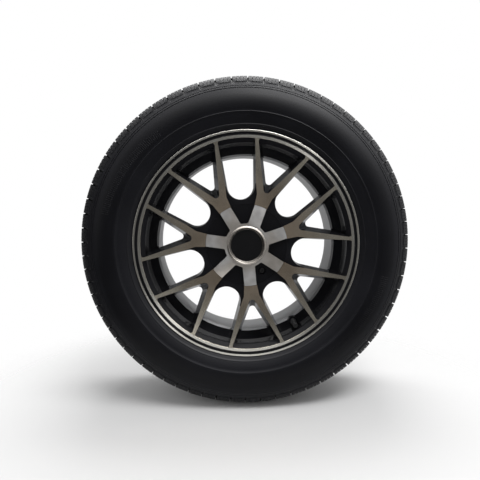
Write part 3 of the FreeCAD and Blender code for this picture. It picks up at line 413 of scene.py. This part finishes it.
def build_tyre():
    """The whole moulding: tread, walls and liner as one closed skin, with its ribs and hairs."""
    tread = tread_grid()
    walls = wall_grid()
    fine, coarse = tread.shape[1], walls.shape[1]
    start = tread.shape[0] * fine
    last = start + (walls.shape[0] - 1) * coarse
    outer = stitch(last + np.arange(coarse), np.arange(fine))
    inner = stitch(start + np.arange(coarse), start - fine + np.arange(fine))
    ribs, rib_quads, rib_caps = serrations()
    hairs, hair_triangles = vent_hairs()
    points = [tread.reshape(-1, 3), walls.reshape(-1, 3), ribs, hairs]
    skin = len(points[0]) + len(points[1])
    quads = [grid_quads(tread.shape[0], fine)[:, ::-1],
             grid_quads(walls.shape[0], coarse, start)[:, ::-1], rib_quads + skin]
    triangles = [outer[:, ::-1], inner, rib_caps + skin, hair_triangles + skin + len(ribs)]
    return mesh_object("tyre_moulding", *[np.concatenate(part) for part in (points, quads, triangles)])


def rgb(red, green, blue):
    """Colour with full alpha."""
    return (red, green, blue, 1.0)


class Field:
    """A value over a surface: one socket of a node tree. Operators on fields add Math nodes."""

    def __init__(self, tree, socket=None):
        self.tree = tree
        self.socket = socket

    def node(self, kind, settings=None, inputs=None, output=0):
        """Adds a node: its settings first, then the values or links of its sockets."""
        made = self.tree.nodes.new(kind)
        for name, value in (settings or {}).items():
            setattr(made, name, value)
        for name, value in (inputs or {}).items():
            if isinstance(value, Field):
                self.tree.links.new(value.socket, made.inputs[name])
            else:
                made.inputs[name].default_value = value
        return Field(self.tree, made.outputs[output])

    def math(self, operation, *others):
        """A Math node on this value and the others."""
        return self.node("ShaderNodeMath", {"operation": operation}, dict(enumerate((self, *others))))

    def __add__(self, other):
        return self.math("ADD", other)

    def __sub__(self, other):
        return self.math("SUBTRACT", other)

    def __rsub__(self, other):
        return self.node("ShaderNodeMath", {"operation": "SUBTRACT"}, {0: other, 1: self})

    def __mul__(self, other):
        return self.math("MULTIPLY", other)

    def __truediv__(self, other):
        return self.math("DIVIDE", other)

    def __gt__(self, other):
        return self.math("GREATER_THAN", other)

    def __lt__(self, other):
        return self.math("LESS_THAN", other)

    __radd__ = __add__
    __rmul__ = __mul__

    def smooth(self, low, high):
        """0 below low, 1 above high, with soft ends."""
        return self.node("ShaderNodeMapRange", {"interpolation_type": "SMOOTHSTEP"},
                         {"Value": self, "From Min": low, "From Max": high})

    def swing(self, amount):
        """A noise counted from its middle, times an amount."""
        return amount * (self - 0.5)

    def split(self):
        """The three parts of this vector."""
        first = self.node("ShaderNodeSeparateXYZ", None, {0: self})
        return [Field(self.tree, socket) for socket in first.socket.node.outputs]

    def vector(self, y, z):
        """A vector with this value as its first part."""
        return self.node("ShaderNodeCombineXYZ", None, {"X": self, "Y": y, "Z": z})

    def mix(self, first, second):
        """Colour that goes from the first to the second as this value goes from 0 to 1."""
        inputs = {"Factor": self, "A": first, "B": second}
        return self.node("ShaderNodeMix", {"data_type": "RGBA"}, inputs, output=2)

    def shade(self, pair):
        """Colour that goes from the pair's first to its second as this value goes from 0 to 1."""
        return self.mix(rgb(*pair[0]), rgb(*pair[1]))

    def noise(self, scale, detail):
        """Noise over this vector, from 0 to 1."""
        return self.node("ShaderNodeTexNoise", None, {"Vector": self, "Scale": scale, "Detail": detail})

    def bump(self, strength, distance):
        """Normal bent by this height."""
        inputs = {"Height": self, "Strength": strength, "Distance": distance}
        return self.node("ShaderNodeBump", None, inputs)


class Finish:
    """A material with one Principled shader, and the fields that its looks are made of."""

    def __init__(self, name, **constants):
        self.material = bpy.data.materials.new(name)
        self.material.use_nodes = True
        tree = self.material.node_tree
        self.shader = tree.nodes["Principled BSDF"]
        self.start = Field(tree)
        self.place = self.start.node("ShaderNodeTexCoord", output="Object")
        for socket, value in constants.items():
            self.shader.inputs[socket.replace("_", " ")].default_value = value

    def parts(self):
        """Distance from the wheel's axis, height and the two shares of the direction from the axis."""
        x, y, z = self.place.split()
        radius = (x * x + z * z).math("SQRT")
        return radius, y * -1.0, x / radius, z / radius

    def facing(self):
        """How far the surface looks towards the outer side, 1 for straight out."""
        return self.start.node("ShaderNodeTexCoord", output="Normal").split()[1] * -1.0

    def feed(self, **fields):
        """Links fields to the shader's sockets."""
        for socket, value in fields.items():
            self.start.tree.links.new(value.socket, self.shader.inputs[socket.replace("_", " ")])
        return self.material


def spun_grain(radius, east, north, rings, stretch, detail):
    """Fine rings about the wheel's axis: noise over the radius, drawn out along the turn."""
    return (radius * rings).vector(east * stretch, north * stretch).noise(1.0, detail)


# Limits between which a soft noise goes from one colour to the other
CLOUD_LIMITS = (0.3, 0.75)
TONE_LIMITS = (0.3, 0.7)
BLOOM = 1.55                     # how much paler rubber is where it blooms


def rubber(name, tint, rough):
    """Matte moulded rubber: faint bloom, fine grain, shinier where it has been wiped."""
    finish = Finish(name, Specular_IOR_Level=0.25)
    cloud = finish.place.noise(scale=14, detail=4)
    grain = finish.place.noise(scale=900, detail=2)
    colour = cloud.smooth(*CLOUD_LIMITS).shade((tint, [part * BLOOM for part in tint]))
    gloss = rough + cloud.swing(0.12) + grain.swing(0.05)
    relief = grain.bump(strength=0.25, distance=0.2 * MM)
    return finish.feed(Base_Color=colour, Roughness=gloss, Normal=relief)


# Tyre rubber: colours, radii where they change, and roughness
WALL_RUBBER = ((0.0034, 0.0035, 0.0051), (0.0058, 0.006, 0.0083))
BAND_RUBBER = (0.0012, 0.0012, 0.002)
TREAD_RUBBER = (0.009, 0.0092, 0.0106)
TREAD_FROM = (300 * MM, 318 * MM)
BAND_FROM = (252 * MM, 256 * MM)
BAND_TO = (282 * MM, 288 * MM)
BAND_STRENGTH = 0.45
WALL_ROUGH = 0.44
TREAD_DULLER = 0.12
BAND_GLOSSIER = 0.05


def tyre_rubber():
    """Tyre rubber: greyer and duller on the tread, darker in a band round the wall, with fine rings
    from the mould."""
    finish = Finish("tyre_rubber", Specular_IOR_Level=0.16)
    radius, height, east, north = finish.parts()
    tread = radius.smooth(*TREAD_FROM)
    band = radius.smooth(*BAND_FROM) - radius.smooth(*BAND_TO)
    cloud = finish.place.noise(scale=9, detail=5)
    grain = finish.place.noise(scale=700, detail=3)
    rings = spun_grain(radius, east, north, rings=2600, stretch=2, detail=1)
    plain = cloud.smooth(*CLOUD_LIMITS).shade(WALL_RUBBER)
    wall = (BAND_STRENGTH * band).mix(plain, rgb(*BAND_RUBBER))
    colour = tread.mix(wall, rgb(*TREAD_RUBBER))
    gloss = WALL_ROUGH + TREAD_DULLER * tread - BAND_GLOSSIER * band + cloud.swing(0.14) + grain.swing(0.05)
    relief = (grain * 0.6 + rings * 0.4).bump(strength=0.12, distance=0.15 * MM)
    return finish.feed(Base_Color=colour, Roughness=gloss, Normal=relief)


# Places on the wheel where one finish gives way to another
FACE_INNER = (CAP_RADIUS + 0.4 * MM, LIP_FACE - 8 * MM)
FACE_OUTER = (LIP_RADIUS - 14.8 * MM, LIP_FACE - 1 * MM)
RING_OUTER = LIP_RADIUS - 9.8 * MM
LIP_BAND_INNER = LIP_RADIUS - 4 * MM
PAINT_EDGE = 0.3 * MM
BARREL_FRONT = 45.4 * MM
BARREL_RADIUS = 200 * MM
# height below which the barrel is black: a painted shade line where the inboard flange curves away
INBOARD_PAINTED_SHADE_LINE = -LIP_FACE + 11 * MM
RIM_REFLECTION_FULL = 0.85 * FACE_OUTER[0]     # radius from which a spoke has the rim side's colour and painted reflection
FACING_OUT = 0.6

# Colours of the wheel, darkest and palest, and its roughness; the turned metal's colours hold painted
# reflection, warmer towards the hub and paler towards the rim and on the rings
HUB_METAL_AND_PAINTED_REFLECTION = ((0.6, 0.495, 0.38), (0.85, 0.71, 0.56))
RIM_METAL_AND_PAINTED_REFLECTION = ((0.58, 0.535, 0.45), (0.87, 0.81, 0.69))
RING_METAL_AND_PAINTED_REFLECTION = ((0.68, 0.66, 0.605), (0.79, 0.77, 0.71))
BLACK_PAINT = ((0.0078, 0.0078, 0.0092), (0.0125, 0.0125, 0.0146))
SILVER_PAINT = ((0.29, 0.292, 0.296), (0.38, 0.382, 0.387))
METAL_ROUGH = 0.19
SWIRL_ROUGH = 0.05
BLACK_ROUGH = 0.16
SILVER_DULLER = 0.28
SILVER_METALLIC = 0.6
PAINT_COAT = 0.07


def wheel_finish():
    """Two-tone wheel: turned metal on the outer face, whose colour holds painted reflection, black paint in
    the windows, silver in the barrel, and a painted shade line at the barrel's inboard end.
    """
    finish = Finish("wheel_two_tone", Specular_IOR_Level=0.12, Coat_Roughness=0.06)
    radius, height, east, north = finish.parts()
    slope = (FACE_OUTER[1] - FACE_INNER[1]) / (FACE_OUTER[0] - FACE_INNER[0])
    cone = (radius - FACE_INNER[0]) * slope + FACE_INNER[1]
    face = cone.math("MINIMUM", FACE_OUTER[1])
    on_face = ((height - face).math("ABSOLUTE") < PAINT_EDGE) * (radius < RING_OUTER)
    on_lip = (height > LIP_FACE - PAINT_EDGE * 2) * (radius > LIP_BAND_INNER - PAINT_EDGE)
    inside = radius > FACE_INNER[0] - PAINT_EDGE
    turned = on_face.math("MAXIMUM", on_lip) * inside * (finish.facing() > FACING_OUT)
    painted = 1 - turned
    # silver barrel, which stops short of the inboard edge, where black gives a painted shade line
    barrel = (height < BARREL_FRONT) * (height > INBOARD_PAINTED_SHADE_LINE) * (radius < BARREL_RADIUS)
    swirl = spun_grain(radius, east, north, rings=3000, stretch=3, detail=2)
    # painted reflection: turned metal warm towards the hub, paler towards the rim and on the rings, with
    # brighter spots of painted sheen
    tone_and_painted_sheen = finish.place.noise(scale=16, detail=2).smooth(*TONE_LIMITS)
    painted_reflection_outward = radius.smooth(FACE_INNER[0], RIM_REFLECTION_FULL)
    spoke_colour_and_reflection = painted_reflection_outward.mix(tone_and_painted_sheen.shade(HUB_METAL_AND_PAINTED_REFLECTION), tone_and_painted_sheen.shade(RIM_METAL_AND_PAINTED_REFLECTION))
    metal_and_painted_reflection = (radius > FACE_OUTER[0]).mix(spoke_colour_and_reflection, tone_and_painted_sheen.shade(RING_METAL_AND_PAINTED_REFLECTION))
    black = finish.place.noise(scale=30, detail=3).shade(BLACK_PAINT)
    silver = finish.place.noise(scale=1600, detail=2).shade(SILVER_PAINT)
    colour = turned.mix(barrel.mix(black, silver), metal_and_painted_reflection)
    paint_rough = barrel * painted * SILVER_DULLER + painted * BLACK_ROUGH
    gloss = turned * (METAL_ROUGH + SWIRL_ROUGH * swirl) + paint_rough
    relief = (painted * finish.place.noise(scale=260, detail=2)).bump(strength=0.06, distance=0.1 * MM)
    return finish.feed(Base_Color=colour, Roughness=gloss, Normal=relief, Coat_Weight=painted * PAINT_COAT,
                       Metallic=turned.math("MAXIMUM", barrel * SILVER_METALLIC))


# Centre cap: where its arms are bright, and its colours; the arms' warm and cool patches are painted
# reflection
ARMS_FROM = LIP_FACE - 10.3 * MM
ARMS_FACING = 0.15
CAP_REFLECTION_PATCH_LIMITS = (0.35, 0.65)
CAP_WARM_PAINTED_REFLECTION = ((0.48, 0.445, 0.405), (0.58, 0.54, 0.495))
CAP_COOL_PAINTED_REFLECTION = ((0.64, 0.635, 0.63), (0.8, 0.795, 0.79))
CAP_BLACK = ((0.003, 0.003, 0.004), (0.0055, 0.0055, 0.007))
ARMS_ROUGH = 0.14
RIPPLE_ROUGH = 0.1
WEBS_ROUGH = 0.3
ARMS_METALLIC = 0.7


def cap_finish():
    """Moulded cap: bright metallised arms and collar, black webs and underside; the arms' colour holds
    painted reflection, in warm and cool patches and in streaks that follow the ripple.
    """
    finish = Finish("cap_two_tone", Specular_IOR_Level=0.2)
    height = finish.parts()[1]
    bright = (height > ARMS_FROM) * (finish.facing() > ARMS_FACING)
    ripple = finish.place.noise(scale=55, detail=2)
    speck = finish.place.noise(scale=1200, detail=2)
    # painted reflection: warm and cool patches on the arms, and darker and paler streaks along the ripple
    cloud = finish.place.noise(scale=17, detail=2).smooth(*CAP_REFLECTION_PATCH_LIMITS)
    tone_and_painted_sheen = ripple.smooth(*TONE_LIMITS)
    silver = cloud.mix(tone_and_painted_sheen.shade(CAP_WARM_PAINTED_REFLECTION), tone_and_painted_sheen.shade(CAP_COOL_PAINTED_REFLECTION))
    colour = bright.mix(speck.shade(CAP_BLACK), silver)
    gloss = bright * (ARMS_ROUGH + RIPPLE_ROUGH * ripple) + (1 - bright) * WEBS_ROUGH
    relief = (ripple * 0.7 + speck * 0.02).bump(strength=0.16, distance=2 * MM)
    return finish.feed(Base_Color=colour, Roughness=gloss, Metallic=bright * ARMS_METALLIC, Normal=relief)


def bright_metal(name, colours, rough, scale=300):
    """Plain metal with a fine grain in its colour, gloss and relief."""
    finish = Finish(name, Metallic=1.0)
    grain = finish.place.noise(scale, detail=3)
    return finish.feed(Base_Color=grain.shade(colours), Roughness=rough + grain.swing(0.12),
                       Normal=grain.bump(strength=0.1, distance=0.1 * MM))


DISC_BLACK = ((0.004, 0.004, 0.0046), (0.0068, 0.0068, 0.0075))
DISC_ROUGH = 0.26
DISC_RING_ROUGH = 0.1


def black_disc():
    """Satin black insert with a faint spun grain."""
    finish = Finish("disc_black", Specular_IOR_Level=0.2)
    radius, height, east, north = finish.parts()
    rings = spun_grain(radius, east, north, rings=2400, stretch=3, detail=2)
    colour = finish.place.noise(scale=40, detail=3).shade(DISC_BLACK)
    return finish.feed(Base_Color=colour, Roughness=DISC_ROUGH + DISC_RING_ROUGH * rings,
                       Normal=rings.bump(strength=0.1, distance=0.1 * MM))


# Valve tube
THREAD_PITCH = 0.794 * MM
THREAD_DEPTH = 0.4 * MM
THREAD_TURN_STEPS = 28
THREAD_STEPS = 8
PLAIN_BELOW = 0.6 * MM       # plain stretches at the thread's ends
PLAIN_ABOVE = 0.8 * MM
WIDE_END = 9 * MM            # how far the tube's wide end reaches into the rubber
STEM_STEP = 0.97 * MM
BORE_RADIUS = 2.65 * MM
AIRWAY_RADIUS = 1.6 * MM
SEAT_DROP = 1.2 * MM         # how far the bore goes on below the pin
END_CHAMFER = 0.5 * MM
END_CHAMFER_FOOT = 0.1 * MM


def threaded_tube():
    """Valve tube: a skin of revolution, whose bare end has a radius that falls and rises once in a
    turn's pitch, along a height that climbs with the angle."""
    low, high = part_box("valve_tube")
    bottom, top = -high.y, -low.y
    crest = (high.x - low.x) / 2
    stem = crest - STEM_STEP
    rubber_top = -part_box("valve_body")[0].y
    shank = rubber_top - WIDE_END
    seat = -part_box("core_pin")[1].y - SEAT_DROP
    thread = np.arange(rubber_top + PLAIN_BELOW, top - PLAIN_ABOVE, THREAD_PITCH / THREAD_STEPS)
    plain = np.array([(AIRWAY_RADIUS, bottom), (stem, bottom), (stem, shank),
                      (crest, shank), (crest, rubber_top)])
    ends = np.array([(crest - END_CHAMFER_FOOT, top - END_CHAMFER), (crest - END_CHAMFER, top),
                     (BORE_RADIUS, top), (BORE_RADIUS, seat),
                     (AIRWAY_RADIUS, seat - BORE_RADIUS + AIRWAY_RADIUS)])
    rows = np.concatenate([plain, np.stack([np.full(len(thread), crest), thread], -1), ends])
    cut = np.concatenate([np.zeros(len(plain)), np.ones(len(thread)), np.zeros(len(ends))])
    angle = 2 * np.pi / THREAD_TURN_STEPS * np.arange(THREAD_TURN_STEPS)
    phase = rows[:, 1:2] / THREAD_PITCH - angle[None, :] / (2 * np.pi)
    valley = np.abs(2 * (phase - np.floor(phase)) - 1)
    radius = rows[:, 0:1] - THREAD_DEPTH * cut[:, None] * valley
    points = spun(radius, rows[:, 1:2], angle[None, :]).reshape(-1, 3) + [VALVE.x, 0, VALVE.z]
    return mesh_object("valve_tube_threaded", points, grid_quads(len(rows), len(angle), 0, True))


# Spring of the valve's core
SPRING_WIRE = 0.4 * MM
SPRING_TURNS = 5
SPRING_TURN_STEPS = 24
SPRING_SIDES = 8


def wound_spring():
    """Spring of the valve's core: a round wire carried along a helix, which climbs evenly from the
    housing's floor to the pin's collar, closed at both ends."""
    low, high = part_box("core_spring")
    wire = SPRING_WIRE / 2
    coil = (high.x - low.x) / 2 - wire
    steps = SPRING_TURNS * SPRING_TURN_STEPS + 1
    turn = np.linspace(0, 2 * np.pi * SPRING_TURNS, steps)[:, None]
    climb = np.linspace(-high.y + wire, -low.y - wire, steps)[:, None]
    side = 2 * np.pi / SPRING_SIDES * np.arange(SPRING_SIDES)[None, :]
    points = spun(coil + wire * np.cos(side), climb + wire * np.sin(side), turn).reshape(-1, 3)
    fan = np.arange(1, SPRING_SIDES - 1)
    first = np.stack([np.zeros_like(fan), fan, fan + 1], -1)
    last = first[:, ::-1] + (steps - 1) * SPRING_SIDES
    quads = grid_quads(steps, SPRING_SIDES)[:, ::-1]
    return mesh_object("core_spring_wound", points + [VALVE.x, 0, VALVE.z], quads,
                       np.concatenate([first, last]))


# Small pieces: tint or colours, and roughness
VALVE_RUBBER = ((0.009, 0.009, 0.0095), 0.55)
DUST_CAP = ((0.008, 0.008, 0.0085), 0.42)
CORE_STEEL = (((0.42, 0.42, 0.43), (0.55, 0.55, 0.56)), 0.25)
VALVE_BRASS = (((0.5, 0.36, 0.14), (0.64, 0.47, 0.2)), 0.28)
DARK_ZINC = (((0.035, 0.035, 0.036), (0.07, 0.07, 0.07)), 0.38)
BEZEL_SILVER = (((0.36, 0.332, 0.303), (0.44, 0.408, 0.373)), 0.24)


def dress():
    """Gives every piece its finish, and puts the moulded tyre, the threaded tube and the spring in place."""
    valve_rubber = rubber("valve_rubber", *VALVE_RUBBER)
    steel = bright_metal("core_steel", *CORE_STEEL)
    brass = bright_metal("valve_brass", *VALVE_BRASS)
    finishes = {
        "alloy_wheel": wheel_finish(),
        "centre_cap": cap_finish(),
        "cap_bezel": bright_metal("bezel_silver", *BEZEL_SILVER, scale=120),
        "cap_disc": black_disc(),
        "cap_screw": bright_metal("screw_dark_zinc", *DARK_ZINC),
        "valve_body": valve_rubber,
        "core_housing": brass,
        "core_pin": steel,
        "core_seal": valve_rubber,
        "valve_cap": rubber("dust_cap_plastic", *DUST_CAP),
        "cap_seal": valve_rubber,
    }
    for name, material in finishes.items():
        nodes[name].data.materials.clear()
        nodes[name].data.materials.append(material)
    made = {
        "tyre": (build_tyre(), tyre_rubber(), "tyre_rubber"),
        "valve_tube": (threaded_tube(), brass, "valve_brass"),
        "core_spring": (wound_spring(), steel, "core_steel"),
    }
    for name, (piece, material, slot) in made.items():
        piece.data.materials.append(material)
        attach(piece, "wheel")
        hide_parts(name)
    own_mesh(made["core_spring"][0])


# Camera, from the photograph's circles; angles are in degrees
IMAGE_PIXELS = 480
FOCAL_PIXELS = 397.5
SENSOR = 36.0
VIEW_AZIMUTH = -1.59
VIEW_ELEVATION = 5.23
VIEW_DISTANCE = 871 * MM
VIEW_TARGET = Vector((-3.0, 0, -29.4)) * MM
PRINCIPAL_POINT = (3.8, 16.2)        # pixels right of and below the image's middle
NEAREST_SEEN = 10 * MM


def add_camera():
    """Camera at the photograph's viewing angle, turned to its target with Z up."""
    azimuth, elevation = math.radians(VIEW_AZIMUTH), math.radians(VIEW_ELEVATION)
    back = Vector((math.sin(azimuth) * math.cos(elevation), -math.cos(azimuth) * math.cos(elevation),
                   math.sin(elevation)))
    data = bpy.data.cameras.new("camera")
    data.sensor_width = SENSOR
    data.lens = FOCAL_PIXELS / IMAGE_PIXELS * SENSOR
    data.shift_x = -PRINCIPAL_POINT[0] / IMAGE_PIXELS
    data.shift_y = PRINCIPAL_POINT[1] / IMAGE_PIXELS
    data.clip_start = NEAREST_SEEN
    camera = bpy.data.objects.new("camera", data)
    camera.location = VIEW_TARGET + back * VIEW_DISTANCE
    camera.rotation_euler = back.to_track_quat("Z", "Y").to_euler()
    scene.collection.objects.link(camera)
    scene.camera = camera


FLOOR_RADIUS = 1.0
FLOOR_FADE = (0.42, 0.8)     # distances between which the floor fades away
FLOOR_GREY = 0.92
FLOOR_ROUGH = 0.9
FLOOR_RINGS = 3
FLOOR_SIDES = 96


def add_floor():
    """Pale round floor under the tyre, which fades into the white background."""
    ring = np.linspace(0, 1, FLOOR_RINGS + 1)[1:] * FLOOR_RADIUS
    angle = 2 * np.pi / FLOOR_SIDES * np.arange(FLOOR_SIDES)
    disc = np.stack([np.outer(ring, np.cos(angle)), np.outer(ring, np.sin(angle)),
                     np.full((FLOOR_RINGS, FLOOR_SIDES), FLOOR)], -1).reshape(-1, 3)
    points = np.concatenate([disc, [[0, 0, FLOOR]]])
    quads = grid_quads(FLOOR_RINGS, FLOOR_SIDES)[:, ::-1]
    here = np.arange(FLOOR_SIDES)
    hub = np.stack([here, (here + 1) % FLOOR_SIDES, np.full(FLOOR_SIDES, len(disc))], -1)
    floor = mesh_object("floor", points, quads, hub)
    finish = Finish("floor_pale", Base_Color=rgb(FLOOR_GREY, FLOOR_GREY, FLOOR_GREY), Roughness=FLOOR_ROUGH,
                    Specular_IOR_Level=0.0)
    start, tree = finish.start, finish.start.tree
    away = start.node("ShaderNodeVectorMath", {"operation": "LENGTH"}, {0: finish.place}, "Value")
    pale = Field(tree, finish.shader.outputs[0])
    clear = start.node("ShaderNodeBsdfTransparent")
    mixed = start.node("ShaderNodeMixShader", None, {0: away.smooth(*FLOOR_FADE), 1: pale, 2: clear})
    tree.links.new(mixed.socket, tree.nodes["Material Output"].inputs["Surface"])
    floor.data.materials.append(finish.material)


# Surroundings: levels that polished surfaces see, and the limits between which each sets in
WORLD_LIGHT = 0.45           # light that the surroundings give
FRONT_LEVEL = 0.12
FRONT_FADE = 0.85            # share of the front's level that is gone straight behind the wheel
BACK_LEVEL = 0.6             # behind the wheel, low down
BACK_LIMITS = (0.05, 0.55)
BACK_HIGH_SHARE = 0.06       # what is left of that higher up
BACK_HIGH_LIMITS = (-0.12, 0.22)
FAR_LIMITS = (0.42, 0.76)    # where the light from above and from the right ends, behind the wheel
ABOVE_LEVEL = 7.2
ABOVE_LEAN = 0.22            # how far the light from above leans to the right
ABOVE_LIMITS = (0.26, 1.08)
ABOVE_MIDDLE = 0.3           # share of it that is left right above the wheel
ABOVE_APART = (0.08, 0.42)
RIGHT_LEVEL = 0.8
RIGHT_LIMITS = (0.35, 1.0)


def add_world():
    """White background. Polished surfaces see a studio that is dim in front, bright above and at the
    right, and pale behind the wheel low down; everything else gets an even light."""
    world = bpy.data.worlds.new("studio")
    world.use_nodes = True
    scene.world = world
    tree = world.node_tree
    start = Field(tree)
    camera, glossy, through = [start.node("ShaderNodeLightPath", output=name) for name in
                               ("Is Camera Ray", "Is Glossy Ray", "Is Transmission Ray")]
    side, depth, up = start.node("ShaderNodeTexCoord", output="Generated").split()
    near = 1 - depth.smooth(*FAR_LIMITS)
    low = 1 - (1 - BACK_HIGH_SHARE) * up.smooth(*BACK_HIGH_LIMITS)
    behind = BACK_LEVEL * depth.smooth(*BACK_LIMITS) * low
    apart = ABOVE_MIDDLE + (1 - ABOVE_MIDDLE) * depth.math("ABSOLUTE").smooth(*ABOVE_APART)
    above = ABOVE_LEVEL * (up + ABOVE_LEAN * side).smooth(*ABOVE_LIMITS) * apart * near
    right = RIGHT_LEVEL * side.smooth(*RIGHT_LIMITS) * near
    front = FRONT_LEVEL * (1 - FRONT_FADE * (1 - near))
    studio = front + behind.math("MAXIMUM", above.math("MAXIMUM", right))
    plain = camera.math("MAXIMUM", through)
    seen = plain.math("MAXIMUM", glossy * studio)
    diffuse = (1 - plain.math("MAXIMUM", glossy)) * WORLD_LIGHT
    background = tree.nodes["Background"]
    background.inputs["Color"].default_value = rgb(1, 1, 1)
    tree.links.new((seen + diffuse).socket, background.inputs["Strength"])


# Lamps: angle about the wheel's axis and lean from it in degrees, distance, size and power in watts
LAMPS = {
    "key_above_right": (70, 62, 1.9, (1.2, 0.6), 20),
    "top": (88, 104, 1.5, (1.2, 0.5), 12),
    "fill_left": (162, 55, 1.9, (0.8, 1.2), 2.5),
    "softbox_right": (47, 22, 1.5, (0.07, 0.13), 0.08),
    "card_low_left": (232, 27, 1.0, (0.3, 0.1), 0.13),
}


def add_lamp(name, bearing, lean, distance, size, power):
    """Soft rectangular lamp that looks at the wheel's middle from an angle about the wheel's axis,
    leaning away from the axis."""
    turn, tilt = math.radians(bearing), math.radians(lean)
    aside = math.sin(tilt)
    place = distance * Vector((aside * math.cos(turn), -math.cos(tilt), aside * math.sin(turn)))
    data = bpy.data.lights.new(name, "AREA")
    data.shape = "RECTANGLE"
    data.size, data.size_y = size
    data.energy = power
    lamp = bpy.data.objects.new(name, data)
    lamp.location = place
    lamp.rotation_euler = place.to_track_quat("Z", "Y").to_euler()
    scene.collection.objects.link(lamp)


dress()
add_camera()
add_floor()
add_world()
for lamp_name, lamp_values in LAMPS.items():
    add_lamp(lamp_name, *lamp_values)
scene.view_settings.view_transform = "Standard"
